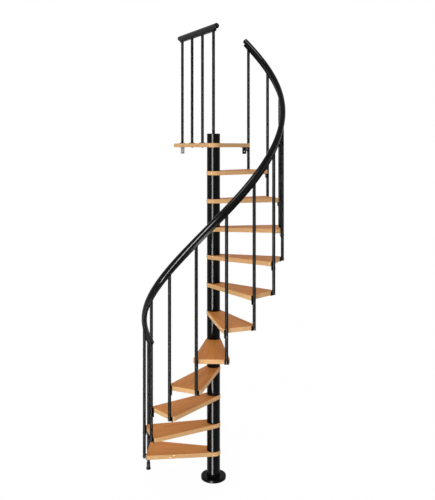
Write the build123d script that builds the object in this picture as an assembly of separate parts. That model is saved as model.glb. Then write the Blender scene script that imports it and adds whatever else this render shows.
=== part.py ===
"""Spiral staircase: wedge treads threaded on a central column, with a helical handrail.

All lengths are in millimetres and all angles in degrees. The origin is on the floor at
the centre of the column, +Z is up, and the flight climbs anticlockwise seen from above.
"""
from build123d import *
from math import acos, atan2, cos, degrees, hypot, pi, radians, sin, tan
import os

# ---- Driving dimensions ------------------------------------------------------------
# Flight
rise = 229.0
tread_count = 11
step_angle = 22.78
first_baluster_angle = 165.9
baluster_circle_radius = 566.0

# Column
pole_diameter = 60.0
pole_wall = 4.0
pole_fit = 0.25
spacer_diameter = 108.0
spacer_wall = 3.0
column_above_landing = 74.0
cap_thickness = 4.0
cap_overhang = 0.5

# Base
base_plate_diameter = 190.0
base_plate_thickness = 10.0
anchor_hole_diameter = 12.0
anchor_edge_distance = 20.0
anchor_count = 4
base_cover_margin = 7.5
base_cover_height = 23.0
base_cover_wall = 2.0
base_cover_edge_radius = 5.0

# Treads
tread_thickness = 34.0
tread_nose_margin = 3.0
tread_half_width = 139.0
tread_corner_radius = 20.0
tread_edge_radius = 3.0

# Landing
landing_long_side = 637.0

# Balusters
baluster_diameter = 25.0
baluster_wall = 2.0
baluster_below_tread_top = 26.0
plug_thickness = 3.0
foot_pad_diameter = 38.0
foot_pad_height = 12.0
foot_sleeve_diameter = 31.0
foot_sleeve_height = 44.0
foot_bore_depth = 30.0

# Handrails
rail_diameter = 46.0
rail_flat_width = 20.0
rail_seat_gap = 0.3
rail_top_above_nosing = 918.0
landing_rail_top = 1000.0
strip_width = 20.0
strip_height = 18.0
strip_wall = 2.0
strip_setback = 20.0
strip_plug_thickness = 3.0
strip_plug_fit = 0.2
mitre_gap = 0.5
rail_start_overrun = 6.6
rail_end_overrun = 3.3
rail_cap_thickness = 5.0
rail_cap_edge_radius = 3.5

# Landing balustrade
post_count = 4
post_line_angle = 117.4
post_column_gap = 52.0
landing_rail_overrun = 55.0
rosette_diameter = 56.0
rosette_height = 6.0

# Steel angle brackets
bracket_thickness = 3.0
bracket_leg = 42.0
bracket_below_top = 1.0
shoe_width = 34.0
hanger_width = 28.0
hanger_drop = 36.0
floor_bracket_width = 36.0
floor_bracket_drop = 60.0
floor_bracket_leg = 45.0
floor_bracket_end_margin = 109.0
floor_bracket_gap = 1.0
floor_bracket_hole = 8.0
floor_bracket_hole_drop = 37.0

# ---- Derived places ----------------------------------------------------------------
base_cover_diameter = base_plate_diameter + 2 * base_cover_margin
landing_top = rise * (tread_count + 1)
half_step = step_angle / 2
nose_radius = spacer_diameter / 2 + tread_nose_margin
baluster_radius = baluster_diameter / 2
baluster_offset = baluster_circle_radius * sin(radians(half_step))
baluster_reach = baluster_circle_radius * cos(radians(half_step))
tread_reach = baluster_reach - baluster_radius - bracket_thickness
climb_per_degree = rise / step_angle
rail_slope = degrees(atan2(climb_per_degree * 360, 2 * pi * baluster_circle_radius))
rail_seat = (rail_diameter ** 2 / 4 - rail_flat_width ** 2 / 4) ** 0.5
strip_middle = rail_seat + rail_seat_gap + strip_height / 2
strip_drop = strip_middle + strip_height / 2
rail_section_height = rail_diameter / 2 + strip_drop


def tread_top(number):
    """Height of the walking surface of a tread; the landing counts as the last one."""
    return rise * number


def tread_angle(number):
    """Direction of a tread's centre line, half a step past the baluster at its nosing."""
    return first_baluster_angle + step_angle * (number - 0.5)


def baluster_angle(number):
    return first_baluster_angle + step_angle * number


def rail_centre_height(angle):
    """Height of the helical handrail's centre line at a direction round the column."""
    nosing_line = tread_top(1) + climb_per_degree * (angle - first_baluster_angle)
    return nosing_line + rail_top_above_nosing - rail_diameter / 2 / cos(radians(rail_slope))


def at_column(shape, angle, height):
    """Turn a shape made along +X to a direction round the column and lift it."""
    return Pos(0, 0, height) * Rot(0, 0, angle) * shape


def tangent_point(x, y, radius, side):
    """Where a line from (x, y) touches the circle of this radius on the origin."""
    turn = degrees(acos(radius / hypot(x, y)))
    direction = radians(degrees(atan2(y, x)) + side * turn)
    return (radius * cos(direction), radius * sin(direction))


def wedge(corners, thickness):
    """Board with a round nose on the column axis, straight sides and the outer corners.

    The corners run anticlockwise. The board's top is at height zero, with the pole's
    bore through it, its outer corners rounded and its long edges eased.
    """
    first = corners[0]
    last = corners[-1]
    right = tangent_point(first[0], first[1], nose_radius, -1)
    left = tangent_point(last[0], last[1], nose_radius, 1)
    middle = atan2(right[1] + left[1], right[0] + left[0])
    nose = (nose_radius * cos(middle), nose_radius * sin(middle))
    outline = Polyline(right, *corners, left) + ThreePointArc(left, nose, right)
    board = extrude(Pos(0, 0, -thickness) * make_face(outline), thickness)
    outer = [
        edge
        for edge in board.edges().filter_by(Axis.Z)
        if hypot(edge.center().X, edge.center().Y) > 2 * nose_radius
    ]
    board = fillet(outer, tread_corner_radius)
    rims = board.faces().filter_by(Axis.Z).edges()
    board = fillet(rims, tread_edge_radius)
    bore = Cylinder(pole_diameter / 2 + pole_fit, 3 * thickness)
    return board - bore


def tube(diameter, wall, length):
    """Tube standing on the origin."""
    ring = Circle(diameter / 2) - Circle(diameter / 2 - wall)
    return extrude(ring, length)


def save(name, shape):
    shape.label = name
    export_step(shape, f"parts/{name}.step")


os.makedirs("parts", exist_ok=True)

# ---- Base --------------------------------------------------------------------------
# A thick floor plate with anchor holes carries the pole; a thin cover hides the anchors.
base_plate = extrude(Circle(base_plate_diameter / 2), base_plate_thickness)
anchors = PolarLocations(base_plate_diameter / 2 - anchor_edge_distance, anchor_count, start_angle=45)
base_plate -= anchors * Cylinder(anchor_hole_diameter / 2, 3 * base_plate_thickness)
save("base_plate", base_plate)

cover_outside = extrude(Circle(base_cover_diameter / 2), base_cover_height)
cover_outside = fillet(cover_outside.edges().group_by(Axis.Z)[-1], base_cover_edge_radius)
cover_inside = extrude(Circle(base_cover_diameter / 2 - base_cover_wall), base_cover_height - base_cover_wall)
pole_way = Cylinder(pole_diameter / 2 + pole_fit, 3 * base_cover_height)
save("base_cover", cover_outside - cover_inside - pole_way)

# ---- Column ------------------------------------------------------------------------
# One pole from the base plate to the cap; spacer tubes round it hold the treads apart.
column_top = landing_top + column_above_landing
pole = Pos(0, 0, base_plate_thickness) * tube(pole_diameter, pole_wall, column_top - base_plate_thickness)
save("central_pole", pole)

spacers = []
for number in range(tread_count + 1):
    bottom = tread_top(number) if number else base_cover_height
    length = tread_top(number + 1) - tread_thickness - bottom
    spacers.append(Pos(0, 0, bottom) * tube(spacer_diameter, spacer_wall, length))
spacers.append(Pos(0, 0, landing_top) * tube(spacer_diameter, spacer_wall, column_above_landing))
save("column_spacers", Compound(children=spacers))

cap = extrude(Circle(spacer_diameter / 2 + cap_overhang), cap_thickness)
cap = fillet(cap.edges().group_by(Axis.Z)[-1], cap_thickness / 4)
save("column_cap", Pos(0, 0, column_top) * cap)

# ---- Treads and landing ------------------------------------------------------------
tread = wedge([(tread_reach, -tread_half_width), (tread_reach, tread_half_width)], tread_thickness)
for number in range(1, tread_count + 1):
    save(f"tread_{number:02d}", at_column(tread, tread_angle(number), tread_top(number)))

# The landing starts with a tread's nosing; its straight back edge runs on to the far corner.
landing_angle = tread_angle(tread_count + 1)
landing = wedge([(tread_reach, -tread_half_width), (tread_reach, landing_long_side)], tread_thickness)
save("landing", at_column(landing, landing_angle, landing_top))

# ---- Helical handrail --------------------------------------------------------------
# A round rail with a flat seat, fixed on a square strip that the balusters carry.
# The strip stops a little short of both ends of the rail.
rail_start = first_baluster_angle - rail_start_overrun
rail_end = baluster_angle(tread_count) + rail_end_overrun
strip_setback_angle = degrees(strip_setback * cos(radians(rail_slope)) / baluster_circle_radius)
strip_start = rail_start + strip_setback_angle
strip_end = rail_end - strip_setback_angle


def rail_helix(start, end):
    """The helical rail's centre line between two directions round the column."""
    line = Helix(climb_per_degree * 360, climb_per_degree * (end - start), baluster_circle_radius)
    return at_column(line, start, rail_centre_height(start))


def rail_section():
    """Round section with a flat on its lower side; X is across the rail, Y is up."""
    cut = Pos(0, -rail_seat - rail_diameter / 2) * Rectangle(2 * rail_diameter, rail_diameter)
    return Circle(rail_diameter / 2) - cut


def strip_section():
    """Rectangular tube under the rail's flat."""
    tube_wall = Rectangle(strip_width, strip_height)
    tube_wall -= Rectangle(strip_width - 2 * strip_wall, strip_height - 2 * strip_wall)
    return Pos(0, -strip_middle) * tube_wall


def rail_plane(angle):
    """Plane across the helical rail, with X outward and Y square to the rail's run."""
    run = Vector(0, 1, 0).rotate(Axis.X, rail_slope).rotate(Axis.Z, angle)
    outward = Vector(1, 0, 0).rotate(Axis.Z, angle)
    centre = outward * baluster_circle_radius + Vector(0, 0, rail_centre_height(angle))
    return Plane(origin=centre, x_dir=outward, z_dir=-run)


rail_path = rail_helix(rail_start, rail_end)
save("handrail", sweep(rail_plane(rail_start) * rail_section(), path=rail_path, is_frenet=True))
strip_path = rail_helix(strip_start, strip_end)
save("handrail_strip", sweep(rail_plane(strip_start) * strip_section(), path=strip_path, is_frenet=True))

# ---- Landing handrail --------------------------------------------------------------
# It starts beside the column and ends flush with the landing's back edge.
post_line = Vector(1, 0, 0).rotate(Axis.Z, post_line_angle)
first_post = Vector(0, spacer_diameter / 2 + post_column_gap, 0)
edge_normal = Vector(1, 0, 0).rotate(Axis.Z, landing_angle)
line_to_edge = (tread_reach - edge_normal.dot(first_post)) / edge_normal.dot(post_line)
post_run = line_to_edge - landing_rail_overrun
landing_rail_length = post_run + 2 * landing_rail_overrun
rail_origin = first_post - post_line * landing_rail_overrun
landing_rail_plane = Plane(
    origin=rail_origin + Vector(0, 0, landing_top + landing_rail_top - rail_diameter / 2),
    x_dir=post_line.rotate(Axis.Z, 90),
    z_dir=post_line,
)
save("landing_handrail", extrude(landing_rail_plane * rail_section(), landing_rail_length))
landing_strip_plane = landing_rail_plane.offset(strip_setback)
landing_strip_length = landing_rail_length - 2 * strip_setback
save("landing_handrail_strip", extrude(landing_strip_plane * strip_section(), landing_strip_length))

# ---- Balusters ---------------------------------------------------------------------
# Each tube runs from beside a tread's back corner, past the nosing of the tread above,
# to the strip, where its top is mitred to the slope.


def strip_underside(angle):
    """Height of the strip's underside over a baluster."""
    return rail_centre_height(angle) - strip_drop / cos(radians(rail_slope))


def baluster(angle, bottom):
    top = strip_underside(angle)
    spare = baluster_diameter * tan(radians(rail_slope))
    blank = Pos(baluster_circle_radius, 0, bottom) * tube(baluster_diameter, baluster_wall, top + spare - bottom)
    mitre = Plane(
        origin=(baluster_circle_radius, 0, top - mitre_gap / cos(radians(rail_slope))),
        z_dir=Vector(0, 0, 1).rotate(Axis.X, rail_slope),
    )
    return Rot(0, 0, angle) * split(blank, mitre, keep=Keep.BOTTOM)


save("start_baluster", baluster(baluster_angle(0), foot_pad_height + foot_bore_depth))
foot = Pos(0, 0, foot_pad_height) * Cylinder(
    foot_sleeve_diameter / 2, foot_sleeve_height, align=(Align.CENTER, Align.CENTER, Align.MIN)
)
foot += Cylinder(foot_pad_diameter / 2, foot_pad_height, align=(Align.CENTER, Align.CENTER, Align.MIN))
foot -= Pos(0, 0, foot_pad_height + foot_bore_depth) * Cylinder(
    baluster_radius, foot_sleeve_height, align=(Align.CENTER, Align.CENTER, Align.MIN)
)
save("adjustable_foot", at_column(Pos(baluster_circle_radius, 0) * foot, baluster_angle(0), 0))

plugs = []
for number in range(1, tread_count + 1):
    bottom = tread_top(number) - baluster_below_tread_top
    save(f"baluster_{number:02d}", baluster(baluster_angle(number), bottom))
    plug = Pos(baluster_circle_radius, 0) * extrude(Circle(baluster_radius), plug_thickness)
    plugs.append(at_column(plug, baluster_angle(number), bottom - plug_thickness))
save("baluster_plugs", Compound(children=plugs))

# ---- Landing balustrade ------------------------------------------------------------
posts = []
rosettes = []
post_length = landing_rail_top - rail_section_height
for number in range(post_count):
    place = Pos(first_post + post_line * (post_run * number / (post_count - 1)) + Vector(0, 0, landing_top))
    posts.append(place * tube(baluster_diameter, baluster_wall, post_length))
    ring = Cylinder(rosette_diameter / 2, rosette_height, align=(Align.CENTER, Align.CENTER, Align.MIN))
    ring = chamfer(ring.edges().group_by(Axis.Z)[-1], rosette_height / 3)
    ring -= Cylinder(baluster_radius, 3 * rosette_height)
    rosettes.append(place * ring)
save("landing_balusters", Compound(children=posts))
save("baluster_rosettes", Compound(children=rosettes))

# ---- Brackets ----------------------------------------------------------------------
# Angles under the boards. The shoes stand between a back corner and its baluster; the
# hangers hold a nosing corner and turn down beside the baluster that passes it. The one
# under the landing leaves its back edge bare, to lie against the upper floor.


def angle_bracket(width, leg, rise_up, drop):
    """Angle with its level leg under a board whose lower face is at height zero.

    The upright wing stands on the outside of x = 0, from the drop below the board to
    the rise beside its edge, and the leg runs inward from it.
    """
    low_corner = (Align.MIN, Align.CENTER, Align.MIN)
    level = Pos(-leg, 0, -bracket_thickness) * Box(leg, width, bracket_thickness, align=low_corner)
    upright = Pos(0, 0, -drop) * Box(bracket_thickness, width, drop + rise_up, align=low_corner)
    return level + upright


edge_cover = tread_thickness - bracket_below_top
shoe = Pos(tread_reach, baluster_offset) * angle_bracket(shoe_width, bracket_leg, edge_cover, bracket_thickness)
hanger = Pos(tread_reach, -baluster_offset) * angle_bracket(hanger_width, bracket_leg, edge_cover, hanger_drop)
shoes = []
hangers = []
for number in range(1, tread_count + 1):
    shoes.append(at_column(shoe, tread_angle(number), tread_top(number) - tread_thickness))
    hangers.append(at_column(hanger, tread_angle(number), tread_top(number) - tread_thickness))
landing_hanger = Pos(tread_reach, -baluster_offset) * angle_bracket(hanger_width, bracket_leg, 0, hanger_drop)
hangers.append(at_column(landing_hanger, landing_angle, landing_top - tread_thickness))
save("baluster_shoes", Compound(children=shoes))
save("baluster_hangers", Compound(children=hangers))

floor_bracket = angle_bracket(floor_bracket_width, floor_bracket_leg, 0, floor_bracket_drop)
hole = Pos(0, 0, -floor_bracket_hole_drop) * Rot(0, 90, 0) * Cylinder(floor_bracket_hole / 2, 4 * bracket_thickness)
floor_bracket -= hole
hanger_edge = hanger_width / 2 - baluster_offset
near_offset = hanger_edge + floor_bracket_gap + floor_bracket_width / 2
far_offset = landing_long_side - floor_bracket_end_margin
for side, offset in (("right", near_offset), ("left", far_offset)):
    place = Pos(tread_reach - bracket_thickness, offset)
    bracket = at_column(place * floor_bracket, landing_angle, landing_top - tread_thickness)
    save(f"floor_bracket_{side}", bracket)

# ---- Handrail end caps -------------------------------------------------------------
# Round caps on the ends of both rails, and small inserts that close the strips.
cap_blank = extrude(Circle(rail_diameter / 2), rail_cap_thickness)
rail_cap = fillet(cap_blank.edges().group_by(Axis.Z)[-1], rail_cap_edge_radius)
landing_rail_start = Plane(landing_rail_plane.origin, x_dir=landing_rail_plane.x_dir, z_dir=-post_line)
landing_rail_end = landing_rail_plane.offset(landing_rail_length)
caps = [
    rail_plane(rail_start) * rail_cap,
    rail_plane(rail_end) * Rot(180, 0, 0) * rail_cap,
    landing_rail_start * rail_cap,
    landing_rail_end * rail_cap,
]
save("handrail_caps", Compound(children=caps))

insert_inset = 2 * (strip_wall + strip_plug_fit)
insert_section = Pos(0, -strip_middle) * Rectangle(strip_width - insert_inset, strip_height - insert_inset)
insert = extrude(insert_section, strip_plug_thickness)
landing_strip_end = landing_strip_plane.offset(landing_strip_length - strip_plug_thickness)
inserts = [
    rail_plane(strip_start) * Pos(0, 0, -strip_plug_thickness) * insert,
    rail_plane(strip_end) * insert,
    landing_strip_plane * insert,
    landing_strip_end * insert,
]
save("strip_plugs", Compound(children=inserts))
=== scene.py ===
from math import atan2, cos, pi, radians, sin

import bmesh
import bpy
from mathutils import Matrix, Vector


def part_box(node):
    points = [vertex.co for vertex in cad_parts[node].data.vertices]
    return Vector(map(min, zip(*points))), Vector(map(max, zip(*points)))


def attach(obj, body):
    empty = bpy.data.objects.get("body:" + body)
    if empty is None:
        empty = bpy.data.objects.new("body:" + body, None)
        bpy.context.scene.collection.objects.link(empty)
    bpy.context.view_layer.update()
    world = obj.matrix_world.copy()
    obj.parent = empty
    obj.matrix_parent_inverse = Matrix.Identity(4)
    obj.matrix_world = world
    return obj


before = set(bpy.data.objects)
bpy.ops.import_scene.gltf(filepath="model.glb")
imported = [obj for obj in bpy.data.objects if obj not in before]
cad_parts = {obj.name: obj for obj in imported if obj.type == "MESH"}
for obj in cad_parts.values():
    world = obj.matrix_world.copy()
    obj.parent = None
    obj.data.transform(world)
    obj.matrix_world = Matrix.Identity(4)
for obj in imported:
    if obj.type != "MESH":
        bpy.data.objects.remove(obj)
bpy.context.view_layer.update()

# ---- Base plate and cover ----------------------------------------------------------
# A thick steel floor plate carries the column, and a thin pressed cover with a rolled
# edge hides its anchors. Both are powder coated black, with the coat's fine orange peel.


class Socket:
    """An output in a node tree; arithmetic on it adds the Math nodes."""

    def __init__(self, nodes, output):
        self.nodes = nodes
        self.output = output

    def maths(self, operation, *values):
        inputs = dict(enumerate(values))
        return self.nodes.node("ShaderNodeMath", {"operation": operation}, inputs)

    def __add__(self, other):
        return self.maths("ADD", self, other)

    def __radd__(self, other):
        return self.maths("ADD", other, self)

    def __sub__(self, other):
        return self.maths("SUBTRACT", self, other)

    def __rsub__(self, other):
        return self.maths("SUBTRACT", other, self)

    def __mul__(self, other):
        return self.maths("MULTIPLY", self, other)

    def __rmul__(self, other):
        return self.maths("MULTIPLY", other, self)

    def __truediv__(self, other):
        return self.maths("DIVIDE", self, other)

    def __pow__(self, other):
        return self.maths("POWER", self, other)

    def floor(self):
        return self.maths("FLOOR", self)

    def sine(self):
        return self.maths("SINE", self)

    def size(self):
        return self.maths("ABSOLUTE", self)

    def ramp(self, low, high):
        """Smooth rise from 0 at low to 1 at high."""
        limits = {"Value": self, "From Min": low, "From Max": high}
        smooth = {"interpolation_type": "SMOOTHSTEP"}
        return self.nodes.node("ShaderNodeMapRange", smooth, limits)


class Nodes:
    """A node tree; node() adds any node and gives back one of its outputs."""

    def __init__(self, tree):
        self.tree = tree

    def node(self, kind, settings, inputs, output=0):
        node = self.tree.nodes.new(kind)
        for name, value in settings.items():
            setattr(node, name, value)
        self.connect(node, inputs)
        return Socket(self, node.outputs[output])

    def connect(self, node, inputs):
        for name, value in inputs.items():
            if isinstance(value, Socket):
                self.tree.links.new(value.output, node.inputs[name])
            else:
                node.inputs[name].default_value = value

    def part(self, vector, axis):
        """One of a vector's parts: X, Y or Z."""
        return self.node("ShaderNodeSeparateXYZ", {}, {"Vector": vector}, axis)

    def ray(self, kind):
        """1 on rays of a kind: Camera, Glossy or Transmission."""
        return self.node("ShaderNodeLightPath", {}, {}, f"Is {kind} Ray")


class Finish(Nodes):
    """A procedural material, with constants for its shader's own sockets."""

    def __init__(self, name, **constants):
        self.material = bpy.data.materials.new(name)
        self.material.use_nodes = True
        super().__init__(self.material.node_tree)
        self.shader = self.tree.nodes["Principled BSDF"]
        for socket, value in constants.items():
            self.shader.inputs[socket.replace("_", " ")].default_value = value

    def place(self):
        return self.node("ShaderNodeTexCoord", {}, {}, "Object")

    def noise(self, place, scale, detail):
        inputs = {"Vector": place, "Scale": scale, "Detail": detail}
        return self.node("ShaderNodeTexNoise", {}, inputs)

    def streaks(self, place, stretch, detail):
        """Noise drawn out along the axes where stretch, its waves per metre, is low."""
        lines = self.node("ShaderNodeMapping", {}, {"Vector": place, "Scale": stretch})
        return self.noise(lines, 1.0, detail)

    def mix(self, factor, first, second):
        inputs = {0: factor, 6: first, 7: second}
        return self.node("ShaderNodeMix", {"data_type": "RGBA"}, inputs, 2)

    def surface(self, colour, roughness, height, depth):
        """Feed the shader; height is a relief of the given depth in metres."""
        inputs = {"Height": height, "Distance": depth, "Strength": 1.0}
        relief = self.node("ShaderNodeBump", {}, inputs)
        inputs = {"Base Color": colour, "Roughness": roughness, "Normal": relief}
        self.connect(self.shader, inputs)
        return self.material


def grey(level):
    return (level, level, level, 1)


def coating(name, dark, pale, roughness, peel, depth, gloss):
    """Paint or plastic between two greys, over a relief that is peel wide and depth high."""
    clouds_per_metre = 9.0
    specks_per_peel = 3.2
    cloud_tone = 0.7
    speck_tone = 0.3
    cloud_sheen = 0.08
    grain_sheen = 0.06
    finish = Finish(name, Specular_IOR_Level=gloss)
    place = finish.place()
    cloud = finish.noise(place, clouds_per_metre, 3)
    grain = finish.noise(place, 1 / peel, 2)
    speck = finish.noise(place, specks_per_peel / peel, 1).ramp(0.60, 0.72)
    tone = cloud * cloud_tone + speck * speck_tone
    skin = finish.mix(tone, grey(dark), grey(pale))
    smoothest = roughness - (cloud_sheen + grain_sheen) / 2
    sheen = cloud * cloud_sheen + grain * grain_sheen + smoothest
    return finish.surface(skin, sheen, grain, depth)


def clad(material, *nodes):
    """Give CAD nodes one material."""
    for name in nodes:
        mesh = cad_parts[name].data
        mesh.materials.clear()
        mesh.materials.append(material)


base_black = coating(
    "base_black", dark=0.002, pale=0.005, roughness=0.22, peel=0.0016, depth=0.00001, gloss=0.03
)
clad(base_black, "base_plate", "base_cover")

# ---- Column ------------------------------------------------------------------------
# Steel spacer tubes, sprayed in a smooth gloss black, are threaded with the treads on a
# plain steel pole. A flat moulded cap closes the top.

column_black = coating(
    "column_black", dark=0.002, pale=0.005, roughness=0.16, peel=0.006, depth=0.00001, gloss=0.055
)
clad(column_black, "column_spacers")

drawn_lines = (1400, 1400, 12)
drawn_relief = 0.00002
pole_dark = (0.34, 0.34, 0.35, 1)
pole_pale = (0.52, 0.52, 0.53, 1)
pole_finish = Finish("drawn_steel", Metallic=1.0)
pole_grain = pole_finish.streaks(pole_finish.place(), drawn_lines, 3)
pole_colour = pole_finish.mix(pole_grain, pole_dark, pole_pale)
pole_sheen = pole_grain * 0.2 + 0.28
pole_steel = pole_finish.surface(pole_colour, pole_sheen, pole_grain, drawn_relief)
clad(pole_steel, "central_pole")

moulded_black = coating(
    "moulded_black", dark=0.004, pale=0.009, roughness=0.45, peel=0.0007, depth=0.00003, gloss=0.05
)
clad(moulded_black, "column_cap")

# ---- Treads and landing ------------------------------------------------------------
# Solid beech boards, glued up from staves that run out from the column, with eased edges
# and a satin lacquer. The faces are stained warmer than the edges, and the tops are also
# painted darker than the upright sides: painted shade on the tops, painted light on the sides.

stave_width = 0.045
stave_length = 0.38
ring_spacing = 0.0042
ring_wander = 0.011
ring_slope = 0.010
heart_depth = 0.05
heart_spread = 0.09
wander_waves = (2.2, 16, 16)
fibre_waves = (14, 620, 620)
fleck_waves = (190, 1500, 1500)
stave_tone = 0.35
ring_tone = 0.22
fibre_tone = 0.42
bend_tone = 0.3
fleck_tone = 0.35
darkening = 0.12
lacquer_gloss = 0.04
lacquer_roughness = 0.40
lacquer_relief = 0.00008
# Face colours: a warmer stain with painted shade. Edge colours: paler, with painted light.
shaded_stained_face_dark = (0.400, 0.142, 0.032, 1)
shaded_stained_face_pale = (0.660, 0.268, 0.074, 1)
lit_edge_dark = (0.600, 0.330, 0.140, 1)
lit_edge_pale = (0.760, 0.470, 0.225, 1)
board_seed = 11.7


def drawn(finish, key):
    """A number from 0 to 1, drawn anew for each value of the key."""
    return finish.node("ShaderNodeTexWhiteNoise", {"noise_dimensions": "1D"}, {"W": key})


def beech(name, angle, top, seed):
    """Wood whose grain runs out at an angle round the column; top is the walking height."""
    finish = Finish(name, Specular_IOR_Level=lacquer_gloss)
    turn = (0, 0, -angle)
    drop = (0, 0, -top)
    settle = {"Vector": finish.place(), "Rotation": turn, "Location": drop}
    board = finish.node("ShaderNodeMapping", {}, settle)
    along = finish.part(board, "X")
    across = finish.part(board, "Y")
    depth = finish.part(board, "Z")

    row = (across / stave_width + 0.5).floor()
    shift = drawn(finish, row * 3.7 + seed)
    piece = (along / stave_length + shift).floor()
    draw = drawn(finish, row * 5.3 + piece * 1.9 + seed)

    bend = finish.streaks(board, wander_waves, 2)
    side = across - (row + draw * 2 - 1) * stave_width
    below = depth - heart_depth - draw * heart_spread
    radius = (side * side + below * below) ** 0.5 + bend * ring_wander + along * ring_slope
    band = (radius * (2 * pi / ring_spacing)).sine() * 0.5 + 0.5
    fibre = finish.streaks(board, fibre_waves, 3)
    fleck = finish.streaks(board, fleck_waves, 1).ramp(0.60, 0.68)

    tone = draw * stave_tone + band * ring_tone + fibre * fibre_tone + bend * bend_tone
    tone = tone - fleck * fleck_tone - darkening
    # Upward faces take the stained colour with painted shade, upright sides the paler colour with
    # painted light.
    upright = finish.node("ShaderNodeTexCoord", {}, {}, "Normal")
    level = finish.part(upright, "Z").size().ramp(0.35, 0.95)
    face = finish.mix(tone, shaded_stained_face_dark, shaded_stained_face_pale)
    edge = finish.mix(tone, lit_edge_dark, lit_edge_pale)
    wood = finish.mix(level, edge, face)
    satin = fibre * 0.14 + fleck * 0.12 + lacquer_roughness
    return finish.surface(wood, satin, fibre * 0.6 - fleck, lacquer_relief)


def centre(node):
    low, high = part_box(node)
    return (Vector(low) + Vector(high)) / 2


def direction(point):
    return atan2(point.y, point.x)


tread_count = sum(name.startswith("tread_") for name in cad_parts)
numbers = range(1, tread_count + 1)
boards = [f"tread_{number:02d}" for number in numbers] + ["landing"]
baluster_names = ["start_baluster"] + [f"baluster_{number:02d}" for number in numbers]
balusters = [centre(name) for name in baluster_names]
step = (direction(balusters[2]) - direction(balusters[1])) % (2 * pi)
first_tread = direction(balusters[0]) + step / 2
angles = [first_tread + step * place for place in range(len(boards))]
for place, (board, angle) in enumerate(zip(boards, angles), start=1):
    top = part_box(board)[1][2]
    clad(beech(f"beech_{board}", angle, top, board_seed * place), board)

# ---- Balusters ---------------------------------------------------------------------
# Round steel tubes in satin black powder coat. Moulded plugs close the lower ends, and
# the first one stands on a moulded foot.

tube_black = coating(
    "tube_black", dark=0.003, pale=0.007, roughness=0.30, peel=0.0011, depth=0.000007, gloss=0.03
)
clad(tube_black, *baluster_names, "landing_balusters")
clad(moulded_black, "baluster_plugs", "adjustable_foot", "baluster_rosettes")

# ---- Handrails ---------------------------------------------------------------------
# A round extruded rail in semi-gloss black on a square steel strip, which the balusters
# carry. Moulded ends close both.

rail_black = coating(
    "rail_black", dark=0.002, pale=0.005, roughness=0.12, peel=0.004, depth=0.00001, gloss=0.07
)
clad(rail_black, "handrail", "landing_handrail")
clad(tube_black, "handrail_strip", "landing_handrail_strip")
clad(moulded_black, "handrail_caps", "strip_plugs")

# ---- Brackets ----------------------------------------------------------------------
# Bent steel angles under the boards. Most are coated in the rail's black; the one at the
# landing's far end is plain zinc plate, with the spangle of its coat.

clad(rail_black, "baluster_shoes", "baluster_hangers", "floor_bracket_right")

spangles_per_metre = 260.0
spangle_relief = 0.00001
zinc = Finish("zinc_plate", Specular_IOR_Level=0.1)
cells = {"Vector": zinc.place(), "Scale": spangles_per_metre}
cell_colour = zinc.node("ShaderNodeTexVoronoi", {}, cells, "Color")
spangle = zinc.node("ShaderNodeSeparateColor", {}, {"Color": cell_colour}, 0)
zinc_colour = zinc.mix(spangle, grey(0.22), grey(0.36))
zinc_sheen = spangle * 0.12 + 0.38
zinc_plate = zinc.surface(zinc_colour, zinc_sheen, spangle, spangle_relief)
clad(zinc_plate, "floor_bracket_left")

# ---- Bolts and nuts ----------------------------------------------------------------
# Blackened button-head bolts clamp each baluster to its shoe and its hanger. The head
# sits on the tube's outer side, and a hex nut closes the hanger's inner side.

outline_segments = 24


def circle(angle):
    """Reach of a round outline of size 1."""
    return 1.0


def hexagon(angle):
    """Reach of a hexagon whose flats lie 1 from its middle."""
    return 1 / cos((angle + pi / 6) % (pi / 3) - pi / 6)


def turned(mesh, place, rings):
    """Build up a fastener from rings: each has an outline, a size and a height over its seat."""
    loops = []
    for outline, size, height in rings:
        verts = bmesh.ops.create_circle(mesh, segments=outline_segments, radius=1.0)["verts"]
        for vert in verts:
            angle = atan2(vert.co.y, vert.co.x)
            reach = outline(angle) * size
            vert.co = (reach * cos(angle), reach * sin(angle), height)
        loops.append((verts, list({edge for vert in verts for edge in vert.link_edges})))
    for (_, low), (_, high) in zip(loops, loops[1:]):
        bmesh.ops.bridge_loops(mesh, edges=low + high)
    bmesh.ops.contextual_create(mesh, geom=loops[0][1])
    bmesh.ops.contextual_create(mesh, geom=loops[-1][1])
    bmesh.ops.transform(mesh, matrix=place, verts=[vert for verts, _ in loops for vert in verts])


def facing(point, heading):
    """Matrix that stands a fastener at a point with its head towards a heading."""
    turn = Vector(heading).to_track_quat("Z", "Y").to_matrix().to_4x4()
    return Matrix.Translation(point) @ turn


def fitted(name, mesh, material):
    """Make the mesh a piece of the stair."""
    bmesh.ops.recalc_face_normals(mesh, faces=mesh.faces)
    data = bpy.data.meshes.new(name)
    mesh.to_mesh(data)
    mesh.free()
    data.materials.append(material)
    piece = bpy.data.objects.new(name, data)
    bpy.context.collection.objects.link(piece)
    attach(piece, "root")


button_head = [
    (circle, 0.0030, -0.0040),
    (circle, 0.0030, -0.0012),
    (circle, 0.0052, -0.0012),
    (circle, 0.0053, 0.0004),
    (circle, 0.0047, 0.0015),
    (circle, 0.0036, 0.0022),
    (circle, 0.0026, 0.0024),
    (hexagon, 0.0020, 0.0022),
    (hexagon, 0.0020, 0.0004),
]
hex_nut = [
    (hexagon, 0.0048, 0.0),
    (hexagon, 0.0050, 0.0003),
    (hexagon, 0.0050, 0.0046),
    (circle, 0.0047, 0.0050),
    (circle, 0.0031, 0.0050),
    (circle, 0.0029, 0.0045),
    (circle, 0.0029, 0.0068),
    (circle, 0.0023, 0.0074),
]
tube_radius = 0.0125
plate_thickness = 0.003
tube_to_board = tube_radius + plate_thickness
shoe_bolt_drop = 0.017
hanger_bolt_drop = 0.018
bolt_black = coating(
    "bolt_black", dark=0.010, pale=0.022, roughness=0.30, peel=0.0008, depth=0.00001, gloss=0.25
)
outwards = [Vector((cos(angle), sin(angle), 0)) for angle in angles]
bolts = bmesh.new()
nuts = bmesh.new()
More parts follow.
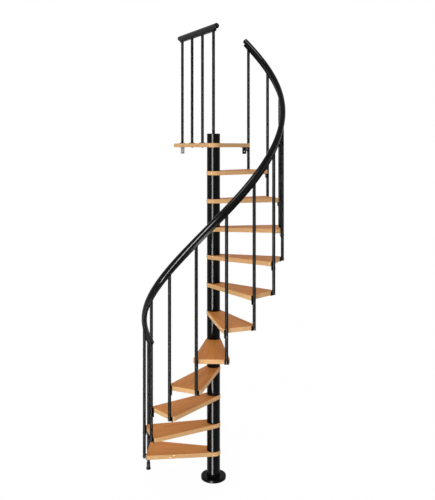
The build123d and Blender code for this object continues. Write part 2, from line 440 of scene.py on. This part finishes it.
for place, (board, outward) in enumerate(zip(boards, outwards)):
    low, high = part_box(board)
    tube = balusters[place].copy()
    tube.z = low[2] - hanger_bolt_drop
    turned(bolts, facing(tube + outward * tube_radius, outward), button_head)
    turned(nuts, facing(tube - outward * tube_to_board, -outward), hex_nut)
    if board != "landing":
        tube = balusters[place + 1].copy()
        tube.z = high[2] - shoe_bolt_drop
        turned(bolts, facing(tube + outward * tube_radius, outward), button_head)
fitted("baluster_bolts", bolts, bolt_black)
fitted("hanger_nuts", nuts, bolt_black)

# ---- Screws under the boards -------------------------------------------------------
# Cross-recessed pan-head screws hold every bracket's level leg to the wood, two in a
# row, and a washered hex bolt from below holds each post of the landing's balustrade.


def cross(angle):
    """Reach of a screwdriver's cross of size 1."""
    spread = abs((angle + pi / 4) % (pi / 2) - pi / 4)
    return min(1 / cos(spread), 0.28 / max(sin(spread), 0.01))


pan_head = [
    (circle, 0.0020, -0.0045),
    (circle, 0.0022, 0.0),
    (circle, 0.0040, 0.0),
    (circle, 0.0041, 0.0008),
    (circle, 0.0036, 0.0019),
    (circle, 0.0028, 0.0024),
    (cross, 0.0021, 0.0025),
    (cross, 0.0015, 0.0006),
]
washer_and_head = [
    (circle, 0.0040, -0.0060),
    (circle, 0.0042, 0.0),
    (circle, 0.0119, 0.0),
    (circle, 0.0120, 0.0014),
    (circle, 0.0117, 0.0016),
    (circle, 0.0062, 0.0016),
    (hexagon, 0.0065, 0.0020),
    (hexagon, 0.0065, 0.0064),
    (circle, 0.0061, 0.0069),
]
screw_rows = (0.012, 0.031)
floor_screw_rows = (-0.010, 0.010)
post_count = 4
landing_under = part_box("landing")[0][2]
down = Vector((0, 0, -1))
screws = bmesh.new()
for place, (board, outward) in enumerate(zip(boards, outwards)):
    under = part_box(board)[0][2]
    for tube in balusters[place : place + 2]:
        for row in screw_rows:
            spot = tube - outward * (tube_to_board + row)
            spot.z = under - plate_thickness
            turned(screws, facing(spot, down), pan_head)
for bracket in ("floor_bracket_right", "floor_bracket_left"):
    for row in floor_screw_rows:
        spot = centre(bracket) + outwards[-1] * row
        spot.z = landing_under - plate_thickness
        turned(screws, facing(spot, down), pan_head)
fitted("bracket_screws", screws, zinc_plate)

post_low, post_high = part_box("landing_balusters")
right_post = Vector((post_high[0] - tube_radius, post_low[1] + tube_radius, landing_under))
left_post = Vector((post_low[0] + tube_radius, post_high[1] - tube_radius, landing_under))
post_bolts = bmesh.new()
for place in range(post_count):
    spot = right_post.lerp(left_post, place / (post_count - 1))
    turned(post_bolts, facing(spot, down), washer_and_head)
fitted("post_bolts", post_bolts, zinc_plate)

# ---- Stage -------------------------------------------------------------------------
# A plain white floor and a white surround, with one softbox at the front. Gloss alone
# also mirrors a tall strip light at the front left and a round light overhead.

floor_radius = 9.0
floor_glow = 0.97
floor_mesh = bmesh.new()
bmesh.ops.create_circle(floor_mesh, cap_ends=True, segments=96, radius=floor_radius)
floor_data = bpy.data.meshes.new("floor")
floor_mesh.to_mesh(floor_data)
floor_mesh.free()
floor = bpy.data.objects.new("floor", floor_data)
bpy.context.collection.objects.link(floor)
floor_finish = Finish("white_floor", Roughness=0.9, Base_Color=grey(0.9))
seen = floor_finish.ray("Camera") + floor_finish.ray("Glossy") + floor_finish.ray("Transmission")
glow = floor_finish.node("ShaderNodeEmission", {}, {"Color": grey(1), "Strength": 1.0})
matt = Socket(floor_finish, floor_finish.shader.outputs[0])
shares = {0: seen * floor_glow, 1: matt, 2: glow}
blend = floor_finish.node("ShaderNodeMixShader", {}, shares)
floor_finish.connect(floor_finish.tree.nodes["Material Output"], {"Surface": blend})
floor_data.materials.append(floor_finish.material)
floor.visible_glossy = False
floor.visible_diffuse = False

strip_bearing = radians(-108.6)
strip_half_width = radians(7)
strip_half_fade = radians(12)
strip_top = 0.12
strip_top_fade = 0.28
strip_strength = 90
overhead_heading = (-0.25, -0.55, 0.80)
overhead_radius = radians(9)
overhead_fade = radians(16)
overhead_strength = 25
soft_low = 0.32
soft_rise = 0.75
soft_from = -0.4
soft_to = 0.9

world = bpy.data.worlds.new("white_studio")
world.use_nodes = True
bpy.context.scene.world = world
studio = Nodes(world.node_tree)
heading = studio.node("ShaderNodeTexCoord", {}, {}, "Generated")
height = studio.part(heading, "Z")
north_east = {0: studio.part(heading, "Y"), 1: studio.part(heading, "X")}
bearing = studio.node("ShaderNodeMath", {"operation": "ARCTAN2"}, north_east)
strip = 1 - (bearing - strip_bearing).size().ramp(strip_half_width, strip_half_fade)
strip = strip * (1 - height.ramp(strip_top, strip_top_fade))
headings = {0: heading, 1: overhead_heading}
overhead = studio.node("ShaderNodeVectorMath", {"operation": "DOT_PRODUCT"}, headings, "Value")
overhead = overhead.ramp(cos(overhead_fade), cos(overhead_radius))
glossy = studio.ray("Glossy")
seen = studio.ray("Camera") + glossy + studio.ray("Transmission")
seen = seen.maths("MINIMUM", seen, 1.0)
soft_light = height.ramp(soft_from, soft_to) * soft_rise + soft_low
gloss_light = strip * strip_strength + overhead * overhead_strength
strength = seen + (1 - seen) * soft_light + glossy * gloss_light
backdrop = studio.tree.nodes["Background"]
studio.connect(backdrop, {"Color": grey(1), "Strength": strength})

front_data = bpy.data.lights.new("front_light", "AREA")
front_data.shape = "RECTANGLE"
front_data.size = 3.0
front_data.size_y = 1.6
front_data.energy = 150
front_light = bpy.data.objects.new("front_light", front_data)
front_light.location = (-1.6, -4.8, 2.0)
middle_of_stair = Vector((0, 0, 1.0))
aim = middle_of_stair - front_light.location
front_light.rotation_euler = aim.to_track_quat("-Z", "Y").to_euler()
front_light.visible_glossy = False
bpy.context.collection.objects.link(front_light)

camera_data = bpy.data.cameras.new("camera")
camera_data.lens = 46.71
camera_data.sensor_width = 36
camera_data.shift_x = 0.0080
camera_data.shift_y = -0.2070
camera = bpy.data.objects.new("camera", camera_data)
camera.location = (0, -5.3366, 2.7202)
camera.rotation_euler = (pi / 2, 0, 0)
bpy.context.collection.objects.link(camera)
bpy.context.scene.camera = camera
bpy.context.scene.view_settings.view_transform = "Standard"
